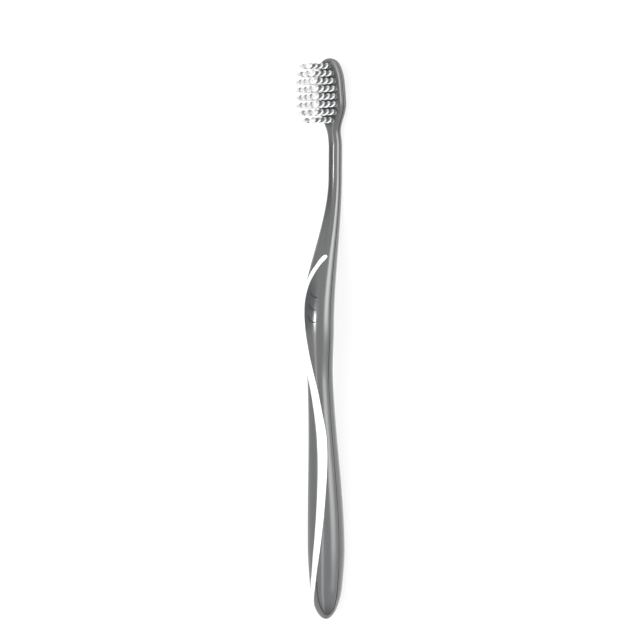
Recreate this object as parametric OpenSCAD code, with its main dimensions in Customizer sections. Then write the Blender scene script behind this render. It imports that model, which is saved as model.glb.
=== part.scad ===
// Manual toothbrush lying on its back: one moulded handle with an oval head, a ribbon laid into
// the grip, and bristle tufts that are each held in a blind hole by a flat metal anchor.
// The brush runs along X with its head towards +X, its bristles point up, and z = 0 is the table.
// Places along the brush are distances from the butt.

/* [Overall] */
// Length of the brush from its butt to the tip of its head
brush_len = 188; // [176:1:205]

/* [Head] */
// Width of the head across its rows of tufts
head_w = 10.9; // [10.7:0.1:14]
// Thickness of the head from its face to its back
head_t = 3.9; // [3.7:0.1:5.5]
// Distance from the head's widest place to its tip
head_front_len = 15; // [13.5:0.5:18]
// Length of the shoulder that narrows from the head to the neck
shoulder_len = 10.3; // [6:0.1:14]
// Length over which the tip of the head is rounded, seen from above
head_round_len = 8.5; // [5:0.5:10]
// Length over which the tip of the head is rounded, seen from the side
head_edge_len = 1.8; // [1:0.1:3]
// Angle by which the face of the head leans towards the grip
head_tilt = 5; // [2:0.5:9]
// Height of the head's middle plane above the table at its widest place
head_rise = 3.57; // [3.2:0.01:6]

/* [Neck] */
// Width of the slim neck
neck_w = 4.4; // [4:0.1:7]
// Thickness of the slim neck
neck_t = 3.9; // [3.2:0.1:6]
// Length of the straight neck that rests on the table
neck_len = 10; // [5:0.5:20]
// Length of the bend between the straight neck and the face of the head
neck_bend_len = 8; // [7:0.5:14]

/* [Grip] */
// Width of the thumb swell, the place where the grip bulges forwards
thumb_w = 12; // [9.5:0.1:14]
// Thickness of the thumb swell
thumb_t = 8.4; // [8:0.1:12]
// Distance from the butt to the middle of the thumb swell
thumb_place = 98.5; // [97:0.5:106]
// Height of the grip's middle plane above the table at the thumb swell
thumb_rise = 9.8; // [8:0.1:12]
// Width of the waist below the thumb swell
waist_w = 8; // [7:0.1:12]
// Thickness of the waist
waist_t = 7.4; // [6.4:0.1:10]
// Distance from the butt to the waist
waist_place = 80; // [74:1:88]
// Height of the grip's middle plane above the table at the waist
waist_rise = 8.2; // [7:0.05:10]
// Width of the paddle, the broad lower end of the grip
paddle_w = 12.4; // [11:0.1:16]
// Thickness of the paddle
paddle_t = 9.9; // [8.4:0.1:13]
// Distance from the butt to the broadest place of the paddle
paddle_place = 24; // [18:1:32]
// Width of the butt before it is rounded off
butt_w = 9.7; // [8.5:0.1:15]
// Thickness of the butt before it is rounded off
butt_t = 7.9; // [7:0.1:12]
// Length over which the butt is rounded
butt_round_len = 11; // [8:0.5:18]
// Depth of the level flats that the brush rests on under its paddle and its neck
rest_flat_depth = 0.12; // [0.08:0.01:0.3]

/* [Ribbon] */
// Distance from the butt to the lower end of the ribbon
ribbon_start = 4.4; // [3:0.1:12]
// Distance from the butt to the upper end of the ribbon
ribbon_end = 121.5; // [110:0.5:126]
// Depth of the groove that holds the ribbon
ribbon_depth = 0.7; // [0.4:0.05:1.2]
// Height of the ribbon above the skin of the grip
ribbon_proud = 0.12; // [0.08:0.01:0.3]
// Gap left round the ribbon in its groove
ribbon_fit = 0.02; // [0.01:0.01:0.1]

/* [Thumb ribs] */
// Number of curved ribs on the thumb swell
rib_count = 3; // [1:1:4]
// Distance from the butt to the top of the first rib
rib_place = 110; // [106:0.5:112]
// Distance from one rib to the next along the grip
rib_pitch = 4.1; // [3:0.1:5]
// Distance that a rib runs across the grip
rib_reach = 3.4; // [2:0.1:4]
// Distance that a rib drops towards the butt as it runs across
rib_drop = 2.4; // [1:0.1:3.5]
// Width of a rib
rib_w = 0.7; // [0.5:0.05:1.2]
// Height of a rib above the skin of the grip
rib_h = 0.22; // [0.1:0.01:0.4]

/* [Tufts] */
// Distance from one row of tufts to the next
row_pitch = 2.56; // [2.3:0.01:2.9]
// Distance from the tip of the head to the first row
first_row_gap = 2.9; // [2.6:0.05:3.6]
// Diameter of the blind hole that holds one tuft
tuft_hole_d = 1.75; // [1.5:0.05:1.95]
// Depth of a tuft's hole below the face of the head
tuft_hole_depth = 2.9; // [2.2:0.1:3.1]
// Distance between the middles of the outer tufts in a full row
full_row_span = 7.6; // [7:0.1:8]
// Length of the bristles above the face of the head
bristle_len = 10.6; // [7:0.1:13]
// Corner radius of one three-sided strand
strand_r = 0.14; // [0.1:0.01:0.16]
// Angle by which the strands wind round their tuft from root to tip, clockwise seen from above
strand_wind = 50; // [0:5:70]
// Gap between a tuft's root and its hole
tuft_fit = 0.02; // [0.01:0.01:0.05]

/* [Anchors] */
// Width of the flat metal anchor that folds a tuft's strands into its hole
anchor_w = 2.15; // [2.05:0.05:2.25]
// Height of the anchor
anchor_h = 1.4; // [1:0.1:1.8]
// Thickness of the anchor
anchor_t = 0.3; // [0.2:0.05:0.4]
// Gap between an anchor and the slit that it is pressed into
anchor_fit = 0.01; // [0.01:0.01:0.03]

/* [Hidden] */
// Overrun of every cut past the surface that it opens
cut_over = 1;

// Rows of tufts from the tip of the head: how many, and how wide as a share of a full row
row_counts = [2, 3, 4, 4, 4, 4, 3, 2];
row_span_shares = [0.39, 0.73, 0.9, 1, 1, 1, 0.79, 0.44];
tufts = [
    for (row = [0:len(row_counts) - 1]) for (n = [0:row_counts[row] - 1])
        [row, n]
];
rows_len = (len(row_counts) - 1) * row_pitch;

// Places along the brush that follow from the lengths above
head_place = brush_len - head_front_len;
shoulder_place = head_place - shoulder_len;
face_len = first_row_gap + rows_len + tuft_hole_d / 2;
face_place = brush_len - face_len;
neck_top_place = face_place - neck_bend_len;
neck_place = neck_top_place - neck_len;

// Squareness of the cross-section: 2 is an ellipse, and more is boxier
soft_square = 2.6;
grip_square = 2.8;
thumb_square = 2.5;
head_square = 5.5;

// Width at the tip of the head, before it is rounded, as a share of the head's width
tip_w_share = 0.92;

// Width, thickness and squareness at each main place, blended smoothly in between
girths = [
    [0, butt_w, butt_t, soft_square],
    [paddle_place, paddle_w, paddle_t, grip_square],
    [waist_place, waist_w, waist_t, grip_square],
    [thumb_place, thumb_w, thumb_t, thumb_square],
    [neck_place, neck_w, neck_t, soft_square],
    [shoulder_place, neck_w, neck_t, soft_square],
    [head_place, head_w, head_t, head_square],
    [brush_len, tip_w_share * head_w, head_t, head_square],
];

// Height of the middle plane at each main place, and how steeply it climbs there
paddle_rise = paddle_t / 2 - rest_flat_depth;
neck_rise = neck_t / 2 - rest_flat_depth;
butt_rise = paddle_rise - rest_flat_depth / 2;
face_climb = tan(head_tilt);
face_rise = head_rise - face_climb * (head_place - face_place);
tip_rise = head_rise + face_climb * head_front_len;
waist_climb = (thumb_rise - paddle_rise) / (thumb_place - paddle_place);
paddle_climb_share = 0.33;
rises = [
    [0, butt_rise, 0],
    [paddle_place, paddle_rise, paddle_climb_share * waist_climb],
    [waist_place, waist_rise, waist_climb],
    [thumb_place, thumb_rise, 0],
    [neck_place, neck_rise, 0],
    [neck_top_place, neck_rise, 0],
    [face_place, face_rise, face_climb],
    [brush_len, tip_rise, face_climb],
];

// Sides of the handle's cross-section, and its rings in each stretch
handle_sides = 32;
butt_rings = 6;
grip_rings = 42;
shoulder_rings = 10;
tip_rings = 7;
end_flat_share = 0.08;
ring_places = concat(
    [for (i = [0:butt_rings - 1]) butt_round_len * (1 - cos(90 * i / butt_rings))],
    [for (i = [0:grip_rings - 1])
        butt_round_len + (shoulder_place - butt_round_len) * i / grip_rings],
    [for (i = [0:shoulder_rings - 1])
        shoulder_place + (brush_len - head_round_len - shoulder_place) * i / shoulder_rings],
    [for (i = [0:tip_rings]) brush_len - head_round_len * (1 - sin(90 * i / tip_rings))]);

// Course of the ribbon: share of its run from its lower end, then its two edges as shares of the
// half width at that place, towards the near side (positive) or the far side (negative)
ribbon_shares = [
    [0.000, -0.72, -0.80],
    [0.008, -0.59, -0.86],
    [0.030, -0.36, -0.82],
    [0.056, -0.17, -0.66],
    [0.100, 0.03, -0.40],
    [0.156, 0.27, -0.21],
    [0.214, 0.46, -0.06],
    [0.271, 0.61, 0.06],
    [0.329, 0.74, 0.16],
    [0.386, 0.85, 0.24],
    [0.444, 0.91, 0.27],
    [0.502, 0.90, 0.21],
    [0.559, 0.75, 0.01],
    [0.617, 0.50, -0.32],
    [0.660, 0.19, -0.70],
    [0.703, -0.06, -0.86],
    [0.746, -0.17, -0.88],
    [0.789, -0.27, -0.88],
    [0.832, -0.40, -0.88],
    [0.875, -0.49, -0.88],
    [0.917, -0.36, -0.80],
    [0.946, -0.06, -0.53],
    [0.974, 0.38, -0.07],
    [0.984, 0.62, 0.10],
    [0.991, 0.74, 0.26],
    [0.9965, 0.77, 0.41],
    [1.000, 0.70, 0.57],
];
ribbon_rings = 64;
ribbon_steps = 8;
ribbon_bunch_share = 0.85;

// Start of the thumb ribs, on the far side of the middle line, and the rings and sides of one rib
rib_start = 0.3;
rib_rings = 12;
rib_sides = 6;
rib_end_share = 0.35;

// Strands stand in two rings round the middle of their tuft, and the tips spread a little
inner_strands = 4;
outer_strands = 10;
root_recess = 0.25;
inner_ring_share = 0.4;
outer_ring_share = 0.82;
tip_spread_share = 1.15;
root_r = tuft_hole_d / 2 - tuft_fit;

// Sides of a tuft's hole, of the root that fills it and of one strand
hole_sides = 24;
root_sides = 20;
strand_sides = 3;

function anchors_name(row) = str("anchors_row_", row + 1);
function tuft_name(tuft) = str("tuft_row_", tuft[0] + 1, "_", tuft[1] + 1);

// Smooth step from 0 to 1, and the two halves of a cubic that carry its end slopes
function ease(u) = u * u * (3 - 2 * u);
function ease_out_slope(u) = u * (1 - u) * (1 - u);
function ease_in_slope(u) = u * u * (u - 1);

// Index of the stretch of a table that holds a place, and how far into it the place lies
function stretch(table, place, i = 0) =
    i >= len(table) - 2 || place <= table[i + 1][0] ? i : stretch(table, place, i + 1);
function progress(table, i, place) = (place - table[i][0]) / (table[i + 1][0] - table[i][0]);

// Width, thickness and squareness at a place, before the ends are rounded off
function girth(place) =
    let (i = stretch(girths, place), s = ease(progress(girths, i, place)))
    [for (k = [1:3]) girths[i][k] * (1 - s) + girths[i + 1][k] * s];

// Height of the middle plane at a place
function rise(place) =
    let (
        i = stretch(rises, place),
        u = progress(rises, i, place),
        run = rises[i + 1][0] - rises[i][0])
    rises[i][1] * (1 - ease(u)) + rises[i + 1][1] * ease(u)
        + run * (ease_out_slope(u) * rises[i][2] + ease_in_slope(u) * rises[i + 1][2]);

// Share of the full size that an end rounded like a quarter ellipse leaves
function rounded(gap, round_len) =
    gap >= round_len ? 1 : max(end_flat_share, sqrt(1 - pow(1 - gap / round_len, 2)));

// Half width and half thickness at a place, with the ends rounded off
function half_size(place) =
    let (
        size = girth(place),
        butt = rounded(place, butt_round_len),
        tip = brush_len - place)
    [size[0] / 2 * butt * rounded(tip, head_round_len),
        size[1] / 2 * butt * rounded(tip, head_edge_len)];

// Power of a number that keeps its sign
function signed_pow(v, e) = sign(v) * pow(abs(v), e);

// Point of the cross-section at an angle from the front, as [towards the near side, forwards]
function section_point(place, angle) =
    let (half = half_size(place), e = 2 / girth(place)[2])
    [half[0] * signed_pow(sin(angle), e), half[1] * signed_pow(cos(angle), e)];

// Point in space at a place and an offset [towards the near side, forwards] from the middle line
function in_space(place, offset) =
    [place - brush_len / 2, -offset[0], rise(place) + offset[1]];

// Faces that close a tube of rings, and two polygons that close its ends
function tube_faces(rings, sides) = concat(
    [for (i = [0:rings - 2]) for (k = [0:sides - 1])
        let (a = i * sides + k, b = i * sides + (k + 1) % sides)
        for (half = [0, 1]) half == 0 ? [b + sides, b, a] : [a + sides, b + sides, a]],
    [[for (k = [0:sides - 1]) k]],
    [[for (k = [sides - 1:-1:0]) (rings - 1) * sides + k]]);

// The handle's outer form, from butt to tip
module handle_form() {
    points = [for (place = ring_places) for (k = [0:handle_sides - 1])
        in_space(place, section_point(place, 360 * (k + 0.5) / handle_sides))];
    polyhedron(points, tube_faces(len(ring_places), handle_sides));
}

// Edges of the ribbon at a share of its run, read from the table with smooth slopes
function table_slope(table, i, k) =
    let (a = max(i - 1, 0), b = min(i + 1, len(table) - 1))
    (table[b][k] - table[a][k]) / (table[b][0] - table[a][0]);
function table_value(table, u, k) =
    let (i = stretch(table, u), s = progress(table, i, u), run = table[i + 1][0] - table[i][0])
    table[i][k] * (1 - ease(s)) + table[i + 1][k] * ease(s)
        + run * (ease_out_slope(s) * table_slope(table, i, k)
            + ease_in_slope(s) * table_slope(table, i + 1, k));

// Point on the front of the grip at a share of the half width, lifted off the skin and moved sideways
function skin_point(place, share, lift, side_step) =
    let (
        half = half_size(place),
        p = girth(place)[2],
        across = half[0] * share,
        forwards = half[1] * pow(1 - pow(abs(share), p), 1 / p),
        slope = [signed_pow(share, p - 1) / half[0], pow(forwards / half[1], p - 1) / half[1]],
        normal = slope / norm(slope))
    in_space(place, [across + normal[0] * lift + normal[1] * side_step,
        forwards + normal[1] * lift - normal[0] * side_step]);

// Outline of the ribbon's cross-section at a share of its run, from a height above the skin down to
// the floor of the groove, with a gap below and at both sides
function ribbon_ring(u, lift, gap) =
    let (
        place = ribbon_start + (ribbon_end - ribbon_start) * u,
        near = table_value(ribbon_shares, u, 1),
        far = table_value(ribbon_shares, u, 2),
        shares = [for (k = [0:ribbon_steps]) far + (near - far) * k / ribbon_steps],
        steps = [for (k = [0:ribbon_steps]) k == 0 ? -gap : k == ribbon_steps ? gap : 0])
    concat(
        [for (k = [0:ribbon_steps]) skin_point(place, shares[k], lift, steps[k])],
        [for (k = [ribbon_steps:-1:0])
            skin_point(place, shares[k], -ribbon_depth - gap, steps[k])]);

// The ribbon, or with more height and a gap the cut that makes its groove
module ribbon_form(lift, gap) {
    sides = 2 * (ribbon_steps + 1);
    points = [for (i = [0:ribbon_rings])
        let (v = i / ribbon_rings)
        each ribbon_ring(v - ribbon_bunch_share * sin(360 * v) / (2 * PI), lift, gap)];
    polyhedron(points, tube_faces(ribbon_rings + 1, sides));
}

// Outline of a thumb rib's cross-section, which sinks into the skin as deep as it stands proud
function rib_ring(rib, v) =
    let (
        turn = 90 * v,
        across = rib_reach * (1 - cos(turn)) - rib_start,
        place = rib_place - rib * rib_pitch - rib_drop * sin(turn),
        square = [-rib_drop * cos(turn), -rib_reach * sin(turn)],
        sideways = square / norm(square),
        swell = max(rib_end_share, sqrt(sin(180 * v))))
    [for (k = [0:rib_sides - 1])
        let (
            side = rib_w / 2 * swell * sin(360 * k / rib_sides),
            lift = rib_h * swell * cos(360 * k / rib_sides),
            there = place + side * sideways[1])
        skin_point(there, (across + side * sideways[0]) / half_size(there)[0], lift, 0)];

// Curved ribs that give the thumb its hold
module thumb_ribs() {
    for (rib = [0:rib_count - 1]) {
        points = [for (i = [0:rib_rings]) each rib_ring(rib, i / rib_rings)];
        polyhedron(points, tube_faces(rib_rings + 1, rib_sides));
    }
}

// Puts its children on the face of the head, with z square to the face
module on_face() {
    translate(in_space(head_place, [0, head_t / 2]))
        rotate([0, -head_tilt, 0]) children();
}

// Middle of a tuft on the face, as [along the face, across it]
function tuft_middle(tuft) =
    let (
        row = tuft[0],
        along = (head_front_len - first_row_gap - row * row_pitch) / cos(head_tilt),
        span = full_row_span * row_span_shares[row],
        count = row_counts[row])
    [along, span * (tuft[1] / (count - 1) - 1 / 2)];

module at_tuft(tuft) {
    middle = tuft_middle(tuft);
    on_face() translate([middle[0], middle[1], 0]) children();
}

// Flat anchor standing on the floor of a tuft's hole, grown all round by a gap
module anchor_form(gap) {
    translate([-anchor_w / 2 - gap, -anchor_t / 2 - gap, -tuft_hole_depth])
        cube([anchor_w + 2 * gap, anchor_t + 2 * gap, anchor_h + gap]);
}

module tuft_hole() {
    translate([0, 0, -tuft_hole_depth])
        cylinder(h = tuft_hole_depth + cut_over, d = tuft_hole_d, $fn = hole_sides);
}

// Handle: one moulding from butt to head, with the thumb ribs, the ribbon's groove, the tufts'
// holes, the anchors' slits and the level flats underneath
module handle_body() {
    color("#72787a") difference() {
        union() {
            handle_form();
            thumb_ribs();
        }
        ribbon_form(ribbon_depth, ribbon_fit);
        for (tuft = tufts) at_tuft(tuft) tuft_hole();
        for (tuft = tufts) at_tuft(tuft) anchor_form(anchor_fit);
        translate([-brush_len / 2 - cut_over, -paddle_w, -paddle_t])
            cube([brush_len + 2 * cut_over, 2 * paddle_w, paddle_t]);
    }
}

module ribbon_inlay() {
    color("white") ribbon_form(ribbon_proud, 0);
}

module anchors_row(row) {
    color("#c9b27c") for (n = [0:row_counts[row] - 1]) at_tuft([row, n]) anchor_form(0);
}

// One straight three-sided strand that winds round its tuft as it rises
module strand(turn, share) {
    root = root_r * share;
    tip = root * tip_spread_share;
    rise_len = bristle_len + root_recess;
    step = [tip * cos(strand_wind) - root, -tip * sin(strand_wind), rise_len];
    lean = atan2(norm([step[0], step[1]]), rise_len);
    rotate([0, 0, turn]) translate([root, 0, -root_recess])
        rotate([0, lean, atan2(step[1], step[0])])
            linear_extrude(norm(step)) circle(strand_r, $fn = strand_sides);
}

// Tuft: its root fills the hole round the anchor, and its strands stand on the root
module bristle_tuft(tuft) {
    root_h = tuft_hole_depth - root_recess;
    color("#f4f5f5") at_tuft(tuft) {
        difference() {
            translate([0, 0, -tuft_hole_depth]) cylinder(h = root_h, r = root_r, $fn = root_sides);
            anchor_form(anchor_fit);
        }
        for (i = [0:inner_strands - 1]) strand(360 * i / inner_strands, inner_ring_share);
        for (i = [0:outer_strands - 1]) strand(360 * i / outer_strands, outer_ring_share);
    }
}

handle_body();
ribbon_inlay();
for (row = [0:len(row_counts) - 1])
    anchors_row(row);
for (tuft = tufts)
    bristle_tuft(tuft);
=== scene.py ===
"""Manual toothbrush lying on its back, dressed for a studio picture.

The brush runs along X with its head towards +X and its bristles pointing up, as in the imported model.
Sizes in the classes are real sizes in millimetres. A place is a distance along the brush from its butt.
"""

from __future__ import annotations

import logging
import math
from dataclasses import dataclass, field
from enum import Enum
from typing import Iterable, Sequence

import bpy
import numpy as np
from mathutils import Matrix, Vector

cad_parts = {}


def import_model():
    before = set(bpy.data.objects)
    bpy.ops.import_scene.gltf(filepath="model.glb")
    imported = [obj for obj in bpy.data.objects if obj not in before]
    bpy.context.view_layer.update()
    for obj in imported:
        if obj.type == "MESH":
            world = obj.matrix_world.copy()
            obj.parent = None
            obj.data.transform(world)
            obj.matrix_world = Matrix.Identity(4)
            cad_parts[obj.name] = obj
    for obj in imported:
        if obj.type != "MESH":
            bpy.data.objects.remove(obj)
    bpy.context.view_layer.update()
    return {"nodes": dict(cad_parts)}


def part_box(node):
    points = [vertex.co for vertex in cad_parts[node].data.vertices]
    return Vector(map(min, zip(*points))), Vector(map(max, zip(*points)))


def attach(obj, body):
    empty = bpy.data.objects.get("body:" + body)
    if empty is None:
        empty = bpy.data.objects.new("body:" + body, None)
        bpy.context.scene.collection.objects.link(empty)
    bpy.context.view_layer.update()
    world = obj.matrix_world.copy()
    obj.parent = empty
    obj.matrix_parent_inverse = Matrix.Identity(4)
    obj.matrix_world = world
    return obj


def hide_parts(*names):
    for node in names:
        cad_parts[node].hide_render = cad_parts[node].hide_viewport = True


MM = 0.001
ROOT_BODY = "root"
LOG = logging.getLogger("toothbrush")

Point = tuple[float, float, float]
Faces = list[tuple[int, ...]]
Span = tuple[float, float]
Colour = tuple[float, float, float, float]
Material = bpy.types.Material
Piece = bpy.types.Object
Socket = bpy.types.NodeSocket

INPUT_KINDS = {
    int: "NodeSocketInt",
    float: "NodeSocketFloat",
    tuple: "NodeSocketVector",
    Material: "NodeSocketMaterial",
    Piece: "NodeSocketObject",
}


class Slot(Enum):
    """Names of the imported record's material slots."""

    HANDLE = "smoke_plastic"
    RIBBON = "white_inlay"
    BRISTLE = "bristle"


def ease(u: float) -> float:
    """Smooth step from 0 to 1."""
    return u * u * (3 - 2 * u)


def ramp(value: float, low: float, high: float) -> float:
    """Smooth step of a value, from 0 at the low limit to 1 at the high one."""
    return ease(min(1.0, max(0.0, (value - low) / (high - low))))


def hermite(table: Sequence[Sequence[float]], where: float, column: int, slopes: Sequence[float]) -> float:
    """Read a table with a smooth cubic through its rows.

    Args:
        table: Rows whose first entry is the place.
        where: Place to read.
        column: Entry of the rows to blend.
        slopes: Slope of that entry at each row.

    Returns:
        The blended entry.
    """
    i = 0
    while i < len(table) - 2 and where > table[i + 1][0]:
        i += 1
    run = table[i + 1][0] - table[i][0]
    u = (where - table[i][0]) / run
    blend = table[i][column] * (1 - ease(u)) + table[i + 1][column] * ease(u)
    return blend + run * (u * (1 - u) ** 2 * slopes[i] + u * u * (u - 1) * slopes[i + 1])


@dataclass(frozen=True)
class Section:
    """Outline of the handle at one place, measured along its skin from the front's middle."""

    arcs: np.ndarray
    points: np.ndarray
    normals: np.ndarray
    half_width: float
    place: float
    middle: float
    length: float

    @property
    def perimeter(self) -> float:
        """Distance once round the skin."""
        return float(self.arcs[-1] - self.arcs[0])

    def arc_of_share(self, share: float) -> float:
        """Distance along the skin to a share of the half width, positive towards the near side."""
        front = slice(len(self.arcs) // 4, -(len(self.arcs) // 4))
        return float(np.interp(share * self.half_width, self.points[front, 0], self.arcs[front]))

    def at(self, arc: float, lift: float) -> Point:
        """Point in space at a distance along the skin and a height above it.

        Args:
            arc: Signed distance along the skin from the front's middle.
            lift: Height above the skin.

        Returns:
            The point in metres. It never lies below the table.
        """
        low = float(self.arcs[0])
        turn = low + (arc - low) % self.perimeter
        spot = [float(np.interp(turn, self.arcs, self.points[:, k])) for k in (0, 1)]
        normal = np.array([np.interp(turn, self.arcs, self.normals[:, k]) for k in (0, 1)])
        normal /= np.linalg.norm(normal)
        across = spot[0] + lift * float(normal[0])
        height = self.middle + spot[1] + lift * float(normal[1])
        return ((self.place - self.length / 2) * MM, -across * MM, max(height, 0.0) * MM)


@dataclass(frozen=True)
class HandleForm:
    """Outer form of the handle: width, thickness and height of its middle line at every place."""

    length: float
    face_len: float
    head_w: float = 10.9
    head_t: float = 3.9
    head_front_len: float = 15.0
    shoulder_len: float = 10.3
    head_round_len: float = 8.5
    head_edge_len: float = 1.8
    head_tilt: float = 5.0
    head_rise: float = 3.57
    tip_w_share: float = 0.92
    neck_w: float = 4.4
    neck_t: float = 3.9
    neck_len: float = 10.0
    neck_bend_len: float = 8.0
    thumb_w: float = 12.0
    thumb_t: float = 8.4
    thumb_place: float = 98.5
    thumb_rise: float = 9.8
    waist_w: float = 8.0
    waist_t: float = 7.4
    waist_place: float = 80.0
    waist_rise: float = 8.2
    paddle_w: float = 12.34
    paddle_t: float = 9.9
    paddle_place: float = 24.0
    paddle_climb_share: float = 0.33
    butt_w: float = 9.7
    butt_t: float = 7.9
    butt_round_len: float = 11.0
    rest_flat_depth: float = 0.12
    soft_square: float = 2.6
    grip_square: float = 2.8
    thumb_square: float = 2.5
    head_square: float = 5.5
    end_share: float = 0.01
    outline_steps: int = 720

    @property
    def head_place(self) -> float:
        """Place where the head is widest."""
        return self.length - self.head_front_len

    @property
    def shoulder_place(self) -> float:
        """Place where the neck starts to widen into the head."""
        return self.head_place - self.shoulder_len

    @property
    def face_place(self) -> float:
        """Place where the head's level face begins."""
        return self.length - self.face_len

    @property
    def neck_top_place(self) -> float:
        """Place where the straight neck ends."""
        return self.face_place - self.neck_bend_len

    def girth(self, place: float) -> tuple[float, float, float]:
        """Width, thickness and squareness before the ends are rounded.

        Args:
            place: Distance from the butt.

        Returns:
            Width, thickness and squareness.
        """
        keys = (
            (0.0, self.butt_w, self.butt_t, self.soft_square),
            (self.paddle_place, self.paddle_w, self.paddle_t, self.grip_square),
            (self.waist_place, self.waist_w, self.waist_t, self.grip_square),
            (self.thumb_place, self.thumb_w, self.thumb_t, self.thumb_square),
            (self.neck_top_place - self.neck_len, self.neck_w, self.neck_t, self.soft_square),
            (self.shoulder_place, self.neck_w, self.neck_t, self.soft_square),
            (self.head_place, self.head_w, self.head_t, self.head_square),
            (self.length, self.tip_w_share * self.head_w, self.head_t, self.head_square),
        )
        level = (0.0,) * len(keys)
        width, thickness, squareness = (hermite(keys, place, k, level) for k in (1, 2, 3))
        return width, thickness, squareness

    def rise(self, place: float) -> float:
        """Height of the middle line above the table.

        Args:
            place: Distance from the butt.

        Returns:
            Height in millimetres.
        """
        paddle = self.paddle_t / 2 - self.rest_flat_depth
        neck = self.neck_t / 2 - self.rest_flat_depth
        climb = math.tan(math.radians(self.head_tilt))
        grip_climb = (self.thumb_rise - paddle) / (self.thumb_place - self.paddle_place)
        keys = (
            (0.0, paddle - self.rest_flat_depth / 2),
            (self.paddle_place, paddle),
            (self.waist_place, self.waist_rise),
            (self.thumb_place, self.thumb_rise),
            (self.neck_top_place - self.neck_len, neck),
            (self.neck_top_place, neck),
            (self.face_place, self.head_rise - climb * (self.head_place - self.face_place)),
            (self.length, self.head_rise + climb * self.head_front_len),
        )
        slopes = (0.0, self.paddle_climb_share * grip_climb, grip_climb, 0.0, 0.0, 0.0, climb, climb)
        return hermite(keys, place, 1, slopes)

    def rounded(self, gap: float, round_len: float) -> float:
        """Share of the full size at a gap from an end that is rounded like a quarter ellipse."""
        inner = 1 - min(gap, round_len) / round_len
        return max(self.end_share, math.sqrt(max(0.0, 1 - inner**2)))

    def section(self, place: float) -> Section:
        """Outline of the handle at a place.

        Args:
            place: Distance from the butt.

        Returns:
            The outline, from the back's middle round the far side, the front and the near side.
        """
        width, thickness, squareness = self.girth(place)
        butt = self.rounded(place, self.butt_round_len)
        tip = self.length - place
        half_w = width / 2 * butt * self.rounded(tip, self.head_round_len)
        half_t = thickness / 2 * butt * self.rounded(tip, self.head_edge_len)
        turns = np.linspace(-math.pi, math.pi, self.outline_steps + 1)
        sides, fronts = np.sin(turns), np.cos(turns)
        power = 2 / squareness
        unit = np.stack([np.sign(v) * np.abs(v) ** power for v in (sides, fronts)], axis=1)
        points = unit * (half_w, half_t)
        normals = np.sign(unit) * np.abs(unit) ** (squareness - 1) / (half_w, half_t)
        normals /= np.linalg.norm(normals, axis=1)[:, None]
        steps = np.linalg.norm(np.diff(points, axis=0), axis=1)
        arcs = np.concatenate([[0.0], np.cumsum(steps)])
        arcs -= arcs[self.outline_steps // 2]
        return Section(arcs, points, normals, half_w, place, self.rise(place), self.length)

    def face_point(self, along: float, across: float) -> Vector:
        """Point on the face of the head.

        Args:
            along: Distance along the face from the head's widest place towards its tip.
            across: Distance towards the far side of the brush.

        Returns:
            The point in metres.
        """
        foot_height = self.rise(self.head_place) + self.head_t / 2
        foot = Vector((self.head_place - self.length / 2, 0.0, foot_height))
        lean = Matrix.Rotation(math.radians(-self.head_tilt), 3, "Y")
        return (foot + lean @ Vector((along, across, 0.0))) * MM


def mesh_object(name: str, points: Sequence[Point], faces: Faces) -> Piece:
    """Make a smooth-shaded mesh object at the origin.

    Args:
        name: Name of the piece.
        points: Corners in metres.
        faces: Corner numbers of each face, anticlockwise seen from outside.

    Returns:
        The new object, linked to the scene.
    """
    mesh = bpy.data.meshes.new(name)
    mesh.from_pydata(points, [], faces)
    mesh.validate()
    mesh.polygons.foreach_set("use_smooth", [True] * len(mesh.polygons))
    piece = bpy.data.objects.new(name, mesh)
    bpy.context.scene.collection.objects.link(piece)
    return piece


def lofted(name: str, rings: Sequence[Sequence[Point]], finish: Material) -> Piece:
    """Make a piece from rings of points, with a polygon over each end.

    Args:
        name: Name of the piece.
        rings: Its rings from the low end, each clockwise seen from the high end.
        finish: Its material.

    Returns:
        The new object.
    """
    sides = len(rings[0])
    faces: Faces = []
    for start in range(0, (len(rings) - 1) * sides, sides):
        for k in range(sides):
            a, b = start + k, start + (k + 1) % sides
            faces.append((a, b, b + sides, a + sides))
    faces.append(tuple(range(sides - 1, -1, -1)))
    faces.append(tuple((len(rings) - 1) * sides + k for k in range(sides)))
    piece = mesh_object(name, [point for ring in rings for point in ring], faces)
    piece.data.materials.append(finish)
    return piece


class Wire:
    """Output of a node, with arithmetic that adds the nodes for it."""

    def __init__(self, graph: NodeGraph, socket: Socket) -> None:
        """Keep the graph and the output's socket."""
        self.graph = graph
        self.socket = socket

    def __add__(self, other: object) -> Wire:
        """Sum with another number."""
        return self.graph.math("ADD", self, other)

    def __sub__(self, other: object) -> Wire:
        """This number less another."""
        return self.graph.math("SUBTRACT", self, other)

    def __rsub__(self, other: float) -> Wire:
        """A plain number less this one."""
        return self.graph.math("SUBTRACT", other, self)

    def __mul__(self, other: object) -> Wire:
        """Product with another number."""
        return self.graph.math("MULTIPLY", self, other)

    def __truediv__(self, other: object) -> Wire:
        """This number divided by another."""
        return self.graph.math("DIVIDE", self, other)

    def __pow__(self, power: float) -> Wire:
        """Power of this number."""
        return self.graph.math("POWER", self, power)

    def __abs__(self) -> Wire:
        """This number without its sign."""
        return self.graph.math("ABSOLUTE", self)


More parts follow.
